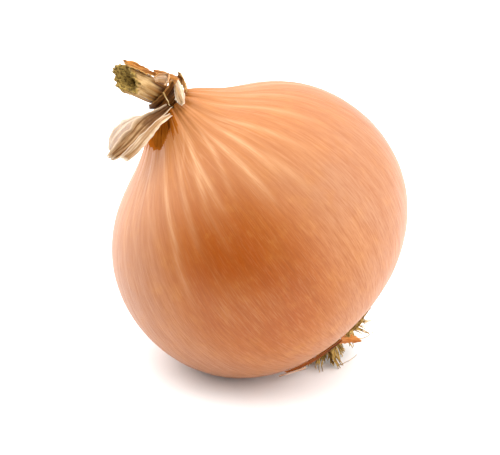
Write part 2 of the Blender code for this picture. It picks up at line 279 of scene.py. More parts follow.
def shape_bulb():
    bm = bmesh.new()
    bmesh.ops.create_uvsphere(bm, u_segments=420, v_segments=250, radius=1)
    runs, torn, ring, downs, streaks, painted_sheen = [], [], [], [], [], []
    for v in bm.verts:
        down = atan2(sqrt(v.co.x ** 2 + v.co.y ** 2), v.co.z)
        down -= 0.36 * sin(2 * down)
        turn = atan2(v.co.y, v.co.x)
        place = bulb_place @ bulb_point(down, turn)
        place.z = max(place.z, table_height)
        v.co = place
        runs.append((40 * cos(turn), 40 * sin(turn), 40 * down))
        torn.append(torn_patch_and_shadow(down, turn))
        ring.append(root_ring(down, turn))
        downs.append(down)
        streaks.append(streak_mask(down, turn))
        painted_sheen.append(painted_sheen_mask(down, turn))
    bmesh.ops.recalc_face_normals(bm, faces=bm.faces)
    mesh = bpy.data.meshes.new("bulb_skin")
    bm.to_mesh(mesh)
    bm.free()
    add_run(mesh, runs)
    add_mask(mesh, "torn", torn)
    add_mask(mesh, "root_end", ring)
    add_mask(mesh, "down", downs)
    add_mask(mesh, "streak", streaks)
    add_mask(mesh, "painted_sheen", painted_sheen)
    mesh.shade_smooth()
    bulb = bpy.data.objects.new("bulb_skin", mesh)
    bpy.context.scene.collection.objects.link(bulb)
    return bulb


def place_node(tree, kind, **settings):
    item = tree.nodes.new("ShaderNode" + kind)
    for name, value in settings.items():
        setattr(item, name, value)
    return item


def math_step(tree, operation, a, b=None, limit=False):
    """One sum on sockets or numbers; gives its output socket."""
    item = place_node(tree, "Math", operation=operation, use_clamp=limit)
    for socket, value in zip(item.inputs, (a, b)):
        if value is None:
            continue
        if isinstance(value, (int, float)):
            socket.default_value = value
        else:
            tree.links.new(value, socket)
    return item.outputs[0]


def spread(tree, value, low, high, to_low=0.0, to_high=1.0, curve="SMOOTHSTEP"):
    item = place_node(tree, "MapRange", interpolation_type=curve)
    tree.links.new(value, item.inputs["Value"])
    item.inputs["From Min"].default_value = low
    item.inputs["From Max"].default_value = high
    item.inputs["To Min"].default_value = to_low
    item.inputs["To Max"].default_value = to_high
    return item.outputs["Result"]


def tinted(tree, mask, under, over, blend="MIX"):
    """Colour over laid on colour under by the mask; colours are sockets or RGB."""
    item = place_node(tree, "Mix", data_type="RGBA", blend_type=blend)
    sockets = (item.inputs[0], item.inputs[6], item.inputs[7])
    for socket, value in zip(sockets, (mask, under, over)):
        if isinstance(value, (int, float)):
            socket.default_value = value
        elif isinstance(value, tuple):
            socket.default_value = (*value, 1)
        else:
            tree.links.new(value, socket)
    return item.outputs[2]


def attribute(tree, name, output="Fac"):
    return place_node(tree, "Attribute", attribute_name=name).outputs[output]


def make_fibres_group():
    """Long fibres that run with the skin: a soft shade and thin raised lines."""
    group = bpy.data.node_groups.new("dry_fibres", "ShaderNodeTree")
    add = group.interface.new_socket
    add("Run", in_out="INPUT", socket_type="NodeSocketVector")
    add("Spacing", in_out="INPUT", socket_type="NodeSocketFloat").default_value = 1
    add("Stretch", in_out="INPUT", socket_type="NodeSocketFloat").default_value = 20
    add("Shade", in_out="OUTPUT", socket_type="NodeSocketFloat")
    add("Lines", in_out="OUTPUT", socket_type="NodeSocketFloat")
    given = group.nodes.new("NodeGroupInput")
    result = group.nodes.new("NodeGroupOutput")
    across = math_step(group, "DIVIDE", 1.0, given.outputs["Spacing"])
    along = math_step(group, "DIVIDE", across, given.outputs["Stretch"])
    scale = place_node(group, "CombineXYZ")
    for socket, value in zip(scale.inputs, (across, across, along)):
        group.links.new(value, socket)
    scaled = place_node(group, "VectorMath", operation="MULTIPLY")
    group.links.new(given.outputs["Run"], scaled.inputs[0])
    group.links.new(scale.outputs[0], scaled.inputs[1])
    fibres = place_node(group, "TexNoise", noise_dimensions="3D")
    fibres.inputs["Scale"].default_value = 1
    fibres.inputs["Detail"].default_value = 3
    fibres.inputs["Roughness"].default_value = 0.6
    group.links.new(scaled.outputs[0], fibres.inputs["Vector"])
    off_middle = math_step(group, "ABSOLUTE", math_step(group, "SUBTRACT", fibres.outputs[0], 0.5))
    lines = spread(group, off_middle, 0.0, 0.035, 1.0, 0.0)
    group.links.new(fibres.outputs[0], result.inputs["Shade"])
    group.links.new(lines, result.inputs["Lines"])
    return group


def make_mottle_group():
    """Cloudy stains and the crinkle of dry papery skin."""
    group = bpy.data.node_groups.new("papery_mottle", "ShaderNodeTree")
    add = group.interface.new_socket
    add("Size", in_out="INPUT", socket_type="NodeSocketFloat").default_value = 0.01
    add("Cloud", in_out="OUTPUT", socket_type="NodeSocketFloat")
    add("Crinkle", in_out="OUTPUT", socket_type="NodeSocketFloat")
    given = group.nodes.new("NodeGroupInput")
    result = group.nodes.new("NodeGroupOutput")
    place = place_node(group, "TexCoord")
    scale = math_step(group, "DIVIDE", 1.0, given.outputs["Size"])
    cloud = place_node(group, "TexNoise")
    cloud.inputs["Detail"].default_value = 4
    crinkle = place_node(group, "TexNoise")
    crinkle.inputs["Detail"].default_value = 6
    crinkle.inputs["Roughness"].default_value = 0.65
    for texture, times in ((cloud, 1.0), (crinkle, 4.0)):
        group.links.new(place.outputs["Object"], texture.inputs["Vector"])
        group.links.new(math_step(group, "MULTIPLY", scale, times), texture.inputs["Scale"])
    group.links.new(cloud.outputs[0], result.inputs["Cloud"])
    group.links.new(crinkle.outputs[0], result.inputs["Crinkle"])
    return group


dry_fibres = make_fibres_group()
papery_mottle = make_mottle_group()


def fibres_in(tree, spacing, stretch):
    item = place_node(tree, "Group", node_tree=dry_fibres)
    item.inputs["Spacing"].default_value = spacing
    item.inputs["Stretch"].default_value = stretch
    tree.links.new(attribute(tree, "run", "Vector"), item.inputs["Run"])
    return item.outputs["Shade"], item.outputs["Lines"]


def mottle_in(tree, size):
    item = place_node(tree, "Group", node_tree=papery_mottle)
    item.inputs["Size"].default_value = size
    return item.outputs["Cloud"], item.outputs["Crinkle"]


def new_finish(name, roughness):
    finish = bpy.data.materials.new(name)
    finish.use_nodes = True
    shader = finish.node_tree.nodes["Principled BSDF"]
    shader.inputs["Roughness"].default_value = roughness
    return finish, finish.node_tree, shader


def raise_bump(tree, shader, height, strength, distance):
    bump = place_node(tree, "Bump")
    bump.inputs["Strength"].default_value = strength
    bump.inputs["Distance"].default_value = distance
    tree.links.new(height, bump.inputs["Height"])
    tree.links.new(bump.outputs[0], shader.inputs["Normal"])


def bulb_finish():
    finish, tree, shader = new_finish("onion_skin", 0.4)
    down = attribute(tree, "down")
    torn = attribute(tree, "torn")
    root_end = attribute(tree, "root_end")
    veins, vein_lines = fibres_in(tree, 4.2, 15)
    broad, broad_lines = fibres_in(tree, 1.8, 26)
    fine, fine_lines = fibres_in(tree, 0.55, 12)
    dash, dash_lines = fibres_in(tree, 0.26, 13)
    cloud, crinkle = mottle_in(tree, 0.02)

    painted_sheen = attribute(tree, "painted_sheen")
    skin = tinted(tree, spread(tree, down, 0.15, 0.9), (0.39, 0.135, 0.020), (0.40, 0.125, 0.014))
    # Painted sheen: from the shoulders down the skin is paled as if it held a white reflection, but not on the patch
    # facing the eye.
    painted_pale_sheen = math_step(tree, "MULTIPLY", spread(tree, down, 0.5, 1.3), spread(tree, painted_sheen, 0.3, 1.0))
    skin = tinted(tree, painted_pale_sheen, skin, (0.36, 0.148, 0.060))
    # Painted shade: the patch facing the eye is darkened, as if it reflected nothing.
    skin = tinted(tree, spread(tree, painted_sheen, 0, 0.9, 1, 0), skin, (0.29, 0.056, 0.001))
    skin = tinted(tree, spread(tree, cloud, 0.42, 0.62, 0, 0.3), skin, (0.42, 0.14, 0.018))
    golden = math_step(tree, "MULTIPLY", spread(tree, crinkle, 0.5, 0.7), 0.2)
    skin = tinted(tree, golden, skin, (0.48, 0.20, 0.04))
    apart = spread(tree, down, 0.15, 0.7, 0.3, 1.0)
    streak = math_step(tree, "MULTIPLY", spread(tree, broad, 0.38, 0.62, 0.0, 0.25), apart)
    skin = tinted(tree, streak, skin, (0.28, 0.072, 0.006))
    shade = math_step(tree, "MULTIPLY", spread(tree, fine, 0.4, 0.62), 0.22)
    skin = tinted(tree, shade, skin, (0.25, 0.060, 0.006))
    lower = spread(tree, down, 0.7, 1.9, 0.1, 0.42)
    grain = math_step(tree, "MULTIPLY", spread(tree, dash, 0.5, 0.64), lower)
    skin = tinted(tree, grain, skin, (0.22, 0.050, 0.004))
    dust = math_step(tree, "MULTIPLY", spread(tree, dash, 0.36, 0.48, 0.3, 0.0), lower)
    skin = tinted(tree, dust, skin, (0.56, 0.30, 0.15))

    patchy = spread(tree, veins, 0.35, 0.6, 0.45, 1.0)
    pale = math_step(tree, "MULTIPLY", attribute(tree, "streak"), patchy)
    pale = math_step(tree, "MULTIPLY", pale, spread(tree, fine, 0.35, 0.6, 0.35, 0.8))
    skin = tinted(tree, pale, skin, (0.62, 0.34, 0.16))
    fan = math_step(tree, "MULTIPLY", spread(tree, down, 0.40, 1.2, 1.0, 0.0),
                    spread(tree, down, 0.15, 0.5, 0.25, 1.0))
    line = math_step(tree, "MULTIPLY", vein_lines, math_step(tree, "MULTIPLY", fan, 0.22))
    skin = tinted(tree, line, skin, (0.60, 0.32, 0.14))
    scratch = math_step(tree, "MULTIPLY", broad_lines, spread(tree, cloud, 0.5, 0.65, 0.0, 0.12))
    skin = tinted(tree, scratch, skin, (0.60, 0.30, 0.14))

    # Painted shadow: the torn patch is darkened for the skin beneath and for the shadow the hanging strip casts on it.
    skin = tinted(tree, spread(tree, torn, 0.1, 0.9), skin, (0.26, 0.065, 0.005))
    rooty = tinted(tree, spread(tree, fine, 0.4, 0.6), (0.14, 0.05, 0.012), (0.34, 0.16, 0.05))
    skin = tinted(tree, root_end, skin, rooty)
    tree.links.new(skin, shader.inputs["Base Color"])

    rough = spread(tree, fine, 0.3, 0.7, 0.34, 0.48, "LINEAR")
    tree.links.new(rough, shader.inputs["Roughness"])
    height = math_step(tree, "ADD", math_step(tree, "MULTIPLY", fine, 0.7), dash)
    height = math_step(tree, "ADD", height, math_step(tree, "MULTIPLY", broad, 0.8))
    raise_bump(tree, shader, height, 0.3, 0.00012)
    shader.inputs["Specular IOR Level"].default_value = 0.33
    return finish


def shape_inner_skin():
    """The next skin down, just proud of the bulb where the outer skin is torn off it."""
    bm = bmesh.new()
    bmesh.ops.create_grid(bm, x_segments=260, y_segments=110, size=1)
    runs, deep = [], []
    for v in bm.verts:
        down = radians(13.5 + 8.5 * v.co.y)
        turn = radians(-160 + 76 * v.co.x)
        tear = torn_patch_and_shadow(down, turn)
        deep.append(tear)
        proud = 0.00016 * tear - 0.00011
        spot = bulb_point(down, turn)
        v.co = bulb_place @ (spot + spot.normalized() * proud)
        runs.append((40 * cos(turn), 40 * sin(turn), 40 * down))
    bmesh.ops.recalc_face_normals(bm, faces=bm.faces)
    mesh = bpy.data.meshes.new("skin_under_tear")
    bm.to_mesh(mesh)
    bm.free()
    add_run(mesh, runs)
    add_mask(mesh, "deep", deep)
    mesh.shade_smooth()
    skin = bpy.data.objects.new("skin_under_tear", mesh)
    bpy.context.scene.collection.objects.link(skin)
    shell = skin.modifiers.new("thickness", "SOLIDIFY")
    shell.thickness = 0.0001
    shell.offset = -1
    return skin


# The skin beneath is painted very dark: partly its own colour, partly the painted shadow of the hanging strip.
def shaded_inner_skin_finish():
    finish, tree, shader = new_finish("skin_beneath_in_shadow", 0.65)
    broad, broad_lines = fibres_in(tree, 1.4, 18)
    fine, fine_lines = fibres_in(tree, 0.5, 14)
    cloud, crinkle = mottle_in(tree, 0.008)
    skin = tinted(tree, spread(tree, broad, 0.38, 0.62), (0.10, 0.024, 0.001), (0.32, 0.095, 0.008))
    skin = tinted(tree, spread(tree, fine, 0.42, 0.62, 0, 0.6), skin, (0.13, 0.032, 0.002))
    skin = tinted(tree, spread(tree, cloud, 0.45, 0.62, 0, 0.6), skin, (0.36, 0.12, 0.012))
    edge = math_step(tree, "ADD", attribute(tree, "deep"), spread(tree, fine, 0.3, 0.7, -0.2, 0.2))
    skin = tinted(tree, spread(tree, edge, 0.7, 1.1, 1.0, 0.0), skin, (0.32, 0.085, 0.007))
    tree.links.new(skin, shader.inputs["Base Color"])
    raise_bump(tree, shader, math_step(tree, "ADD", broad, fine), 0.5, 0.00025)
    # No specular, as painted shade: the patch lies in the hanging strip's shadow.
    shader.inputs["Specular IOR Level"].default_value = 0.0
    return finish


bulb = shape_bulb()
bulb.data.materials.append(bulb_finish())
inner_skin = shape_inner_skin()
inner_skin.data.materials.append(shaded_inner_skin_finish())
for piece in (bulb, inner_skin):
    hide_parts("bulb")
    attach(piece, "root")


# ---------------------------------------------------------------- dry stem
# The leaves were cut off above the neck and what is left has dried to a bent stump of
# ribbed straw. It stands loose in the throat, and its cut end has shrunk in on itself.

stem_path = ((1.3, -0.3, 39.6), (1.4, -1.3, 43.0), (0.1, -3.1, 47.0),
             (-1.5, -4.5, 51.0), (-3.5, -5.9, 55.2))


def bulb_mm(points):
    """Points given in millimetres in the bulb's own frame, neck up."""
    return [Vector(point) / 1000 for point in points]


def between(points, t):
    place = t * (len(points) - 1)
    i = min(int(place), len(points) - 2)
    f = place - i
    a = points[max(i - 1, 0)]
    b = points[i]
    c = points[i + 1]
    d = points[min(i + 2, len(points) - 1)]
    return 0.5 * (2 * b + (c - a) * f + (2 * a - 5 * b + 4 * c - d) * f ** 2
                  + (3 * b - a - 3 * c + d) * f ** 3)


def heading(points, t):
    step = 0.01
    return (between(points, min(t + step, 1)) - between(points, max(t - step, 0))).normalized()


def stem_profile():
    """Distance along and radius in mm: up the outside, over the cut, down the hollow."""
    outside = [(0.0, 1.0), (0.0, 2.1)]
    outside += [(0.02 + 0.96 * i / 40, 2.3 + 0.6 * smooth(0, 0.6, i / 40)) for i in range(41)]
    over = [(1.0, 2.7), (0.995, 2.4)]
    hollow = [(0.99 - 0.24 * i / 12, 2.0 - 1.3 * smooth(0, 1, i / 12)) for i in range(13)]
    return [(0.0, 0.0)] + outside + over + hollow + [(0.74, 0.0)]


def shape_stem():
    path = bulb_mm(stem_path)
    bm = bmesh.new()
    line = [bm.verts.new((r / 1000, 0, t)) for t, r in stem_profile()]
    edges = [bm.edges.new(pair) for pair in zip(line, line[1:])]
    bmesh.ops.spin(bm, geom=line + edges, cent=(0, 0, 0), axis=(0, 0, 1),
                   angle=2 * pi, steps=110, use_merge=True)
    bmesh.ops.remove_doubles(bm, verts=bm.verts, dist=1e-7)
    runs, cut, foot = [], [], []
    for v in bm.verts:
        turn = atan2(v.co.y, v.co.x)
        t = v.co.z
        radius = sqrt(v.co.x ** 2 + v.co.y ** 2)
        runs.append((2.9 * cos(turn), 2.9 * sin(turn), 17 * t))
        inside = 1.0 if radius < 0.0022 and t > 0.7 else 0.0
        cut.append(max(inside, smooth(0.88, 0.98, t + 0.16 * round_noise(turn, t, 4.5, 3, 6))))
        foot.append(1 - smooth(0.38, 0.64, t + 0.2 * round_noise(turn, t, 4, 2, 4)))
        rib = 1 + 0.06 * cos(7 * turn + 2 * t) + 0.05 * cos(2 * turn + 1)
        rib += 0.05 * round_noise(turn, t, 6, 2.0, 3) + 0.02 * round_noise(turn, t, 14, 3, 8)
        crumple = 0.30 * round_noise(turn, t, 3.4, 9, 11) * smooth(0.75, 1, t)
        frayed = 0.025 * cos(3 * turn + 1) + 0.06 * round_noise(turn, 0, 5, 0, 2)
        frayed += 0.12 * sin(turn) - 0.08
        t = min(t + frayed * smooth(0.6, 1, t), 1.12)
        ahead = heading(path, min(t, 1))
        side = ahead.cross(Vector((0, 1, 0))).normalized()
        lift = side.cross(ahead)
        centre = between(path, min(t, 1)) + ahead * max(0, t - 1) * 0.017
        wide = rib + crumple * radius / 0.0028
        v.co = bulb_place @ (centre + (side * v.co.x + lift * v.co.y) * wide)
    bmesh.ops.recalc_face_normals(bm, faces=bm.faces)
    mesh = bpy.data.meshes.new("dry_stem")
    bm.to_mesh(mesh)
    bm.free()
    add_run(mesh, runs)
    add_mask(mesh, "cut_end", cut)
    add_mask(mesh, "foot", foot)
    mesh.shade_smooth()
    stem = bpy.data.objects.new("dry_stem", mesh)
    bpy.context.scene.collection.objects.link(stem)
    return stem


def stem_finish():
    finish, tree, shader = new_finish("stem_straw", 0.6)
    ribs, rib_lines = fibres_in(tree, 0.42, 30)
    fine, fine_lines = fibres_in(tree, 0.16, 20)
    cloud, crinkle = mottle_in(tree, 0.004)
    lumps, crumbs = mottle_in(tree, 0.0022)
    straw = tinted(tree, spread(tree, cloud, 0.35, 0.65), (0.40, 0.23, 0.075), (0.58, 0.39, 0.18))
    straw = tinted(tree, spread(tree, ribs, 0.45, 0.62, 0, 0.6), straw, (0.30, 0.14, 0.025))
    straw = tinted(tree, math_step(tree, "MULTIPLY", fine_lines, 0.4), straw, (0.20, 0.09, 0.018))
    # The foot is painted dark brown: partly brown skin, partly painted shade where it sinks into the throat.
    brown_foot_and_shade = tinted(tree, spread(tree, ribs, 0.4, 0.6), (0.06, 0.016, 0.001), (0.22, 0.08, 0.008))
    straw = tinted(tree, attribute(tree, "foot"), straw, brown_foot_and_shade)
    olive = tinted(tree, spread(tree, crumbs, 0.36, 0.62), (0.08, 0.045, 0.003), (0.42, 0.27, 0.06))
    straw = tinted(tree, attribute(tree, "cut_end"), straw, olive)
    tree.links.new(straw, shader.inputs["Base Color"])
    shader.inputs["Specular IOR Level"].default_value = 0.25
    height = math_step(tree, "ADD", ribs, math_step(tree, "MULTIPLY", crinkle, 0.8))
    raise_bump(tree, shader, height, 0.6, 0.0003)
    return finish


stem = shape_stem()
stem.data.materials.append(stem_finish())
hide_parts("neck_stem")
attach(stem, "root")


# ---------------------------------------------------------------- torn skins at the neck
# Scraps of the outer dry skins still cling round the throat and along the stem: rust
# brown where they are thick, tan and silvery where they are worn thin. They are grown
# to the neck at one end and torn along the others.


def torn_skin(name, path, sides, widths, cup, ripple, torn, seed, thick=0.00016,
              long=70, wide=16):
    """Dry skin run along a path, with its sides, widths, curl and torn edges."""
    path, sides = bulb_mm(path), bulb_mm(sides)
    widths = [Vector((w / 1000, 0, 0)) for w in widths]
    length = sum((b - a).length for a, b in zip(path, path[1:])) * 1000
    bm = bmesh.new()
    bmesh.ops.create_grid(bm, x_segments=long, y_segments=wide, size=1)
    runs, edges, starts = [], [], []
    for v in bm.verts:
        t = (v.co.x + 1) / 2
        starts.append(1 - smooth(0.1, 0.6, t))
        s = v.co.y
        jag = torn * noise.noise(Vector((s * 4.5, seed, 0))) * smooth(0.55, 1, t)
        jag += torn * noise.noise(Vector((s * 4.5, seed, 7))) * smooth(0.3, 0, t) * 0.5
        t = min(max(t + 0.5 * jag, 0), 1)
        side = between(sides, t).normalized()
        face = heading(path, t).cross(side).normalized()
        half = between(widths, t).x / 2
        nick = 1 + torn * noise.noise(Vector((t * 9, seed + 2, 3 * (s > 0)))) * abs(s)
        fold = noise.noise(Vector((s * 2.2, t * 1.6, seed + 5)))
        fine = noise.noise(Vector((s * 7, t * 5, seed + 8)))
        wave = cup * s * s + ripple * (fold + 0.35 * fine) * 2
        spot = between(path, t) + side * s * half * nick + face * wave / 1000
        runs.append((s * half * 1000, seed, t * length))
        edges.append(max(abs(s), smooth(0.75, 1, t)))
        v.co = bulb_place @ spot
    mesh = bpy.data.meshes.new(name)
    bm.to_mesh(mesh)
    bm.free()
    add_run(mesh, runs)
    add_mask(mesh, "edge", edges)
    add_mask(mesh, "start", starts)
    mesh.shade_smooth()
    skin = bpy.data.objects.new(name, mesh)
    bpy.context.scene.collection.objects.link(skin)
    shell = skin.modifiers.new("thickness", "SOLIDIFY")
    shell.thickness = thick
    shell.offset = 0
    return skin


def skin_finish(name, dark, light, rim, roughness=0.5, clear=0.0, darker_start_colour=None):
    """Papery skin: fibres from dark to light, a worn rim, how clear, and darker towards its start."""
    finish, tree, shader = new_finish(name, roughness)
    broad, broad_lines = fibres_in(tree, 0.7, 14)
    fine, fine_lines = fibres_in(tree, 0.22, 16)
    cloud, crinkle = mottle_in(tree, 0.003)
    skin = tinted(tree, spread(tree, broad, 0.4, 0.62), dark, light)
    skin = tinted(tree, spread(tree, cloud, 0.45, 0.7, 0, 0.5), skin, dark)
    skin = tinted(tree, math_step(tree, "MULTIPLY", fine_lines, 0.4), skin, dark)
    # Darker towards the start of the skin, where it leaves the throat.
    if darker_start_colour:
        darker_start = math_step(tree, "ADD", attribute(tree, "start"),
                            spread(tree, cloud, 0.3, 0.7, -0.3, 0.3))
        skin = tinted(tree, spread(tree, darker_start, 0.1, 0.8, 0, 0.9), skin, darker_start_colour)
    worn = spread(tree, attribute(tree, "edge"), 0.72, 1.0, 0.0, 0.9)
    skin = tinted(tree, worn, skin, rim)
    tree.links.new(skin, shader.inputs["Base Color"])
    height = math_step(tree, "ADD", broad, math_step(tree, "MULTIPLY", crinkle, 0.7))
    raise_bump(tree, shader, height, 0.5, 0.0002)
    shader.inputs["Specular IOR Level"].default_value = 0.1
    shader.inputs["Subsurface Weight"].default_value = 0.15
    shader.inputs["Subsurface Radius"].default_value = (0.001, 0.0005, 0.0002)
    if clear:
        veil = spread(tree, broad, 0.3, 0.7, 1 - clear, 1 - clear * 0.5, "LINEAR")
        tree.links.new(veil, shader.inputs["Alpha"])
    return finish


def fit_skin(skin, finish, node):
    skin.data.materials.append(finish)
    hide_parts(node)
    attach(skin, "root")


rust_skin = skin_finish("neck_rust", (0.16, 0.05, 0.004), (0.40, 0.16, 0.03), (0.52, 0.29, 0.09))
tan_skin = skin_finish("neck_tan", (0.16, 0.055, 0.008), (0.40, 0.19, 0.05), (0.52, 0.32, 0.12))
curl_skin = skin_finish("neck_curl", (0.58, 0.34, 0.16), (0.84, 0.66, 0.48), (0.46, 0.23, 0.08))
# The throat lining is painted near-black umber: partly brown skin, partly painted shade of the crevice round the stem
# foot.
umber_skin_and_shade = skin_finish("throat_umber_shaded", (0.035, 0.010, 0.001), (0.16, 0.060, 0.010), (0.26, 0.12, 0.03))
silver_skin = skin_finish("neck_silver", (0.34, 0.20, 0.09), (0.68, 0.54, 0.40), (0.72, 0.60, 0.46))

fit_skin(torn_skin("scrap_over_stem",
                   ((-0.3, -5.7, 57.2), (1.3, -5.1, 54.6), (2.6, -4.3, 51.8), (3.4, -3.5, 49.6)),
                   ((0.1, -1, -0.3), (0.1, -1, -0.3), (0, -1, -0.3), (0, -1, -0.3)),
                   (1.8, 3.2, 3.0, 1.6), 0.3, 0.40, 0.5, 11),
         rust_skin, "neck_skin_top")
fit_skin(torn_skin("scrap_behind_stem",
                   ((3.0, -0.1, 50.0), (3.9, 0.9, 48.2), (4.9, 2.0, 46.4), (5.8, 3.0, 44.6),
                    (6.8, 3.9, 43.0)),
                   ((0.1, 1, 0.2), (0.1, 1, 0.2), (0, 1, 0.2), (-0.1, 1, 0.2), (-0.2, 1, 0.2)),
                   (2.4, 4.4, 5.6, 6.4, 4.6), -0.6, 0.4, 0.25, 23),
         rust_skin, "neck_skin_back")
fit_skin(torn_skin("curl_at_stem_foot",
                   ((3.0, -5.5, 49.3), (4.4, -5.3, 48.7), (5.6, -5.1, 47.3), (4.8, -6.3, 46.4)),
                   ((0.4, -0.5, 1), (0.6, -0.2, 1), (1, 0.1, 0.8), (1, 0.3, 0.2)),
                   (1.4, 2.6, 2.8, 1.2), 0.4, 0.3, 0.35, 31),
         curl_skin, "neck_skin_curl")
fit_skin(torn_skin("silver_scrap",
                   ((6.4, -4.4, 45.2), (6.2, -5.8, 43.8), (5.9, -7.0, 42.2), (5.5, -8.0, 40.6)),
                   ((1, 1, 0.5), (1, 0.9, 0.3), (1, 0.7, 0.1), (1, 0.6, 0)),
                   (2.6, 3.4, 2.8, 0.8), -0.4, 0.25, 0.25, 47),
         silver_skin, "neck_skin_silver")
fit_skin(torn_skin("throat_rim_scrap",
                   ((6.6, 1.0, 44.9), (7.2, 0.0, 44.0), (7.3, -1.4, 43.1), (7.0, -2.8, 42.3)),
                   ((0.3, 0.2, 1), (0.3, 0.1, 1), (0.3, 0, 1), (0.3, -0.1, 1)),
                   (2.6, 3.8, 3.6, 1.6), -0.2, 0.35, 0.3, 53),
         tan_skin, "neck_skin_rim")
# Throat lining: a dark skin that also stands in for painted crevice shade round the stem foot.
throat_turns = [radians(angle) for angle in (-200, -165, -130, -95, -60, -25, 0)]
fit_skin(torn_skin("throat_lining",
                   [(1.3 + 4 * cos(a), -1.5 + 4 * sin(a), 43.5 + 0.7 * cos(a)) for a in throat_turns],
                   [(0.3 * cos(a) - 0.1, 0.3 * sin(a) - 0.35, 1) for a in throat_turns],
                   (1.6, 2.8, 3.4, 3.6, 4.6, 5.0, 4.0), 0.1, 0.3, 0.30, 59, long=160, wide=20),
         umber_skin_and_shade, "throat_skin")


# ---------------------------------------------------------------- skins hanging from the neck
# One long strip of outer skin has come away from the throat and hangs down over the
# left shoulder. It has dried into a trough, with a stiff cream fold along its lower
# edge and a thin clear film of skin still spread along its upper edge.

brown_skin = skin_finish("hanging_brown", (0.22, 0.10, 0.035), (0.50, 0.31, 0.15), (0.66, 0.50, 0.34),
                         darker_start_colour=(0.12, 0.045, 0.012))
cream_skin = skin_finish("hanging_cream", (0.32, 0.17, 0.07), (0.62, 0.45, 0.30), (0.70, 0.56, 0.42))
clear_skin = skin_finish("hanging_film_skin", (0.60, 0.42, 0.28), (0.74, 0.60, 0.46),
                         (0.74, 0.62, 0.48), 0.4, 0.3)

fit_skin(torn_skin("hanging_trough",
                   ((2.0, -6.4, 41.6), (-1.0, -7.8, 41.8), (-3.8, -9.1, 42.1),
                    (-7.4, -10.8, 41.6), (-11.7, -12.5, 41.0), (-16.2, -12.7, 40.6)),
                   ((0.9, -0.5, -1.2), (0.6, -0.7, -1), (0.4, -0.8, -1),
                    (0.5, -0.6, -1), (0.6, -0.5, -1), (0.6, -0.5, -1)),
                   (1.6, 3.0, 4.2, 4.8, 4.2, 2.0), 0.9, 0.35, 0.3, 61, long=110, wide=22),
         brown_skin, "hanging_strip")
fit_skin(torn_skin("hanging_edge",
                   ((1.6, -8.7, 40.3), (-1.2, -11.1, 40.9), (-4.4, -13.3, 40.6),
                    (-8.8, -15.0, 39.8), (-12.9, -15.5, 39.3)),
                   ((0.3, -0.5, -1), (0.3, -0.5, -1), (0.4, -0.5, -1), (0.5, -0.5, -1),
                    (0.5, -0.5, -1)),
                   (0.9, 1.6, 2.2, 2.8, 2.2), 0.3, 0.15, 0.25, 67, long=90, wide=12),
         cream_skin, "hanging_fold")
fit_skin(torn_skin("hanging_clear_film",
                   ((-4.9, -6.7, 43.6), (-7.9, -7.2, 44.2), (-11.1, -7.9, 44.2),
                    (-14.1, -8.8, 43.2), (-16.0, -9.6, 41.9)),
                   ((-0.2, -0.7, -1), (-0.2, -0.7, -1), (-0.1, -0.7, -1),
                    (0, -0.6, -1), (0.1, -0.5, -1)),
                   (1.2, 3.2, 4.0, 3.6, 1.4), -0.5, 0.25, 0.2, 71, 0.0001, 90, 20),
         clear_skin, "hanging_film")


# ---------------------------------------------------------------- stray fibres at the neck
# Two straw-coloured strings of leaf fibre, pulled loose when the leaves were cut: one
# stands out from under the stem, the other lies across the throat.


def strand(bm, points, thickness, seed, rings=14, sides=7, wander=0.15):
    """A round dried thread in mesh bm, tapering from its start, a little crooked."""
    runs = []
    before = None
    for i in range(rings + 1):
        t = i / rings
        ahead = heading(points, t)
        side = ahead.cross(Vector((0.31, 0.95, 0.11))).normalized()
        lift = ahead.cross(side)
        sway = Vector((noise.noise(Vector((t * 4, seed, 0))), noise.noise(Vector((t * 4, seed, 5))),
                       noise.noise(Vector((t * 4, seed, 9))))) * wander / 1000 * smooth(0, 0.3, t)
        centre = between(points, t) + sway
        size = thickness / 2000 * (1 - 0.6 * t) * (1 + 0.25 * noise.noise(Vector((t * 9, seed, 2))))
        loop = []
        for k in range(sides):
            a = 2 * pi * k / sides
            loop.append(bm.verts.new(bulb_place @ (centre + (side * cos(a) + lift * sin(a)) * size)))
            runs.append((thickness * cos(a), thickness * sin(a) + seed, t * 8))
        if before:
            for k in range(sides):
                n = (k + 1) % sides
                bm.faces.new((before[k], before[n], loop[n], loop[k]))
        else:
            bm.faces.new(loop[::-1])
        before = loop
    bm.faces.new(before)
    return runs


def thread_piece(name, threads, finish, node):
    bm = bmesh.new()
    runs = []
    for points, thickness, seed in threads:
        runs += strand(bm, points, thickness, seed)
    bmesh.ops.recalc_face_normals(bm, faces=bm.faces)
    mesh = bpy.data.meshes.new(name)
    bm.to_mesh(mesh)
    bm.free()
    add_run(mesh, runs)
    mesh.shade_smooth()
    piece = bpy.data.objects.new(name, mesh)
    bpy.context.scene.collection.objects.link(piece)
    fit_skin(piece, finish, node)
    return piece


def thread_finish(name, dark, light):
    finish, tree, shader = new_finish(name, 0.65)
    shade, lines = fibres_in(tree, 0.15, 12)
    cloud, crinkle = mottle_in(tree, 0.0012)
    colour = tinted(tree, spread(tree, cloud, 0.38, 0.62), dark, light)
    colour = tinted(tree, math_step(tree, "MULTIPLY", lines, 0.4), colour, dark)
    tree.links.new(colour, shader.inputs["Base Color"])
    shader.inputs["Specular IOR Level"].default_value = 0.25
    raise_bump(tree, shader, math_step(tree, "ADD", shade, crinkle), 0.5, 0.0001)
    return finish


straw_thread = thread_finish("fibre_straw", (0.38, 0.24, 0.08), (0.66, 0.50, 0.26))
thread_piece("string_under_stem",
             [(bulb_mm(((-2.9, -9.2, 50.0), (-5.4, -9.4, 51.0), (-8.0, -9.4, 51.4))), 0.22, 3)],
             straw_thread, "neck_fibre_1")
thread_piece("string_at_throat",
             [(bulb_mm(((3.0, -6.6, 45.6), (2.8, -7.2, 43.8), (2.5, -7.4, 42.1))), 0.4, 8)],
             straw_thread, "neck_fibre_2")


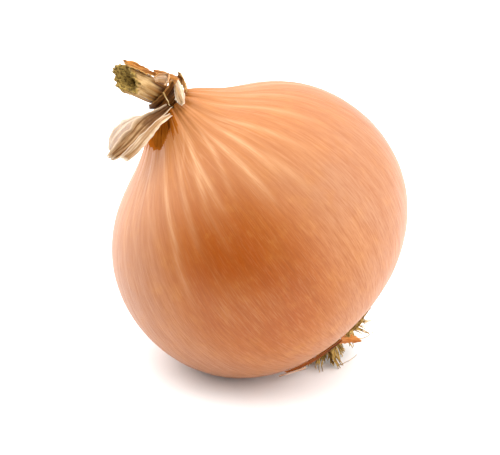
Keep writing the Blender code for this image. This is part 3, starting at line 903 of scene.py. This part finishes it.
# ---------------------------------------------------------------- root plate and roots
# The hard corky plate at the base, with the dried roots that grew from it. The roots
# were trimmed short at harvest and splay out all round as stiff khaki bristles.


root_plate = Vector((0.0003, 0, -0.0331))


def shape_root_plate():
    bm = bmesh.new()
    bmesh.ops.create_uvsphere(bm, u_segments=96, v_segments=48, radius=1)
    runs = []
    for v in bm.verts:
        turn = atan2(v.co.y, v.co.x)
        rough = 1 + 0.07 * cos(6 * turn) + 0.05 * sin(4 * turn + 9 * v.co.z)
        lump = 1 + 0.22 * noise.noise(v.co * 3.5) + 0.10 * noise.noise(v.co * 9)
        spot = Vector((v.co.x * 0.0052 * rough, v.co.y * 0.0052 * rough, v.co.z * 0.0011 * lump))
        runs.append((5 * cos(turn), 5 * sin(turn), 3 * v.co.z))
        v.co = bulb_place @ (spot + root_plate)
    mesh = bpy.data.meshes.new("root_button")
    bm.to_mesh(mesh)
    bm.free()
    add_run(mesh, runs)
    mesh.shade_smooth()
    plate = bpy.data.objects.new("root_button", mesh)
    bpy.context.scene.collection.objects.link(plate)
    return plate


fit_skin(shape_root_plate(), thread_finish("root_cork", (0.08, 0.045, 0.02), (0.36, 0.25, 0.12)),
         "root_plate")

root_khaki = thread_finish("root_khaki", (0.17, 0.09, 0.015), (0.56, 0.36, 0.10))
root_tufts = [  # turn round the plate and distance from its middle, then the tip, in mm
    (31, 4.0, (7.0, 4.2, -37.7)), (0, 2.6, (5.6, 1.2, -38.9)),
    (-40, 3.8, (3.0, -1.4, -39.4)), (-95, 2.0, (-0.8, -2.3, -40.4)),
    (-104, 4.4, (-1.8, -7.8, -39.2)), (-122, 3.8, (-4.9, -6.9, -38.0)),
    (-145, 4.6, (-7.3, -8.4, -36.4)), (180, 3.4, (-7.4, -1.0, -36.6)),
    (135, 4.2, (-5.4, 5.0, -37.0)), (96, 4.0, (-0.8, 7.6, -37.0)),
    (62, 3.0, (2.6, 5.4, -38.8)),
]


def matted_threads():
    """Rootlets pressed flat along the edge of the outer skins."""
    threads = []
    for k in range(22):
        stray = Vector([noise.noise(Vector((k * 0.53, axis + 0.5, 3.2))) for axis in range(3)])
        reach = 0.9 + 0.5 * noise.noise(Vector((k * 0.47, 2.5, 1.3)))
        foot, knee, end = bulb_mm(((3.0, -5.6, -35.0), (6.4, -5.2, -34.9), (11.2, -3.9, -33.4)))
        end = foot + (end - foot) * reach
        threads.append(([foot + stray * 0.003, (knee + foot) / 2 + stray.yzx * 0.0012,
                         (knee + end) / 2 + stray.zxy * 0.001, end + stray * 0.0008], 0.5, 400 + k))
    return threads


def root_bundle(number, turn, start, tip):
    """One root with the finer rootlets matted round it."""
    threads = matted_threads() if number == 1 else []
    for k in range(22):
        seed = number * 24 + k
        stray = Vector([noise.noise(Vector((seed * 0.37, axis + 0.5, 0.2))) for axis in range(3)])
        spin = radians(turn)
        way = Vector((cos(spin), sin(spin), 0)) / 1000
        length = 1.0 if k == 0 else 0.95 + 0.5 * noise.noise(Vector((seed * 0.41, 7.5, 0.3)))
        spill = 0 if k == 0 else 0.0042
        foot = root_plate - Vector((0, 0, 0.0012)) + way * start + stray * 0.003
        end = foot + (Vector(tip) / 1000 - foot) * length + stray * spill
        knee = (foot + end) / 2 + way * 0.5 + stray.yzx * 0.0015
        threads.append(([foot, knee, end], 0.8 if k == 0 else 0.46, seed))
    thread_piece(f"root_bundle_{number:02d}", threads, root_khaki,
                 f"root_{number:02d}")


for number, tuft in enumerate(root_tufts, 1):
    root_bundle(number, *tuft)
thread_piece("long_root_hair_1",
             [(bulb_mm(((3.6, -0.6, -39.9), (4.9, 0.2, -41.2), (6.8, 0.6, -41.5), (8.7, 1.3, -41.3))), 0.25, 5)],
             root_khaki, "root_hair_1")
thread_piece("long_root_hair_2",
             [(bulb_mm(((-2.9, -5.0, -37.6), (-3.0, -8.9, -39.4), (-0.3, -9.2, -40.2), (2.4, -7.2, -40.8))), 0.25, 6)],
             root_khaki, "root_hair_2")


# ---------------------------------------------------------------- skins at the root end
# Where the outer skins stop short of the roots, their ends have split and stand away:
# an orange point beside the roots, a brown lip along the underside, painted near-black
# in part as the shade of the crevice under the bulb, and a pale scrap.

orange_skin = skin_finish("base_orange", (0.30, 0.08, 0.012), (0.50, 0.19, 0.045), (0.56, 0.26, 0.08))
pale_skin = skin_finish("base_pale", (0.50, 0.26, 0.13), (0.68, 0.46, 0.32), (0.70, 0.52, 0.40))
# The lip's colour is its own dark red-brown with painted crevice shade added.
lip_skin_and_shade = skin_finish("base_lip_shaded", (0.07, 0.014, 0.001), (0.24, 0.055, 0.007), (0.36, 0.11, 0.018))

fit_skin(torn_skin("orange_point",
                   ((1.6, -8.0, -34.3), (2.2, -5.6, -36.2), (3.2, -4.0, -38.0), (4.6, -2.9, -40.2)),
                   ((1, 0.5, 0.1), (1, 0.5, 0.1), (1, 0.6, 0.2), (1, 0.6, 0.2)),
                   (4.4, 3.4, 2.4, 0.7), -0.4, 0.15, 0.45, 83),
         orange_skin, "base_skin_orange")


def over_bulb(*places):
    """Points over the bulb, in mm: degrees down, degrees round, mm clear of it."""
    points = []
    for down, turn, clear in places:
        spot = bulb_point(radians(down), radians(turn))
        points.append(tuple((spot + spot.normalized() * clear / 1000) * 1000))
    return points


fit_skin(torn_skin("brown_lip",
                   over_bulb((150, -78, 0.55), (150, -88, 0.5), (149, -98, 0.5), (147, -107, 0.45),
                             (144, -116, 0.4), (141, -123, 0.35)),
                   ((-0.1, 0.65, -0.7), (0, 0.65, -0.7), (0.1, 0.65, -0.7), (0.15, 0.6, -0.7),
                    (0.2, 0.55, -0.75), (0.25, 0.5, -0.75)),
                   (1.0, 1.7, 1.9, 1.7, 1.4, 0.8), 0.2, 0.1, 0.2, 89, long=110),
         lip_skin_and_shade, "base_skin_rim")
fit_skin(torn_skin("pale_scrap",
                   ((-15.4, -15.8, -30.6), (-13.1, -15.0, -31.8), (-10.9, -13.6, -33.1),
                    (-9.4, -12.4, -34.1)),
                   ((0.3, 0.7, -0.4), (0.3, 0.7, -0.4), (0.3, 0.7, -0.4), (0.3, 0.7, -0.4)),
                   (0.8, 2.0, 2.0, 0.6), 0.3, 0.1, 0.2, 97),
         pale_skin, "base_skin_pale")
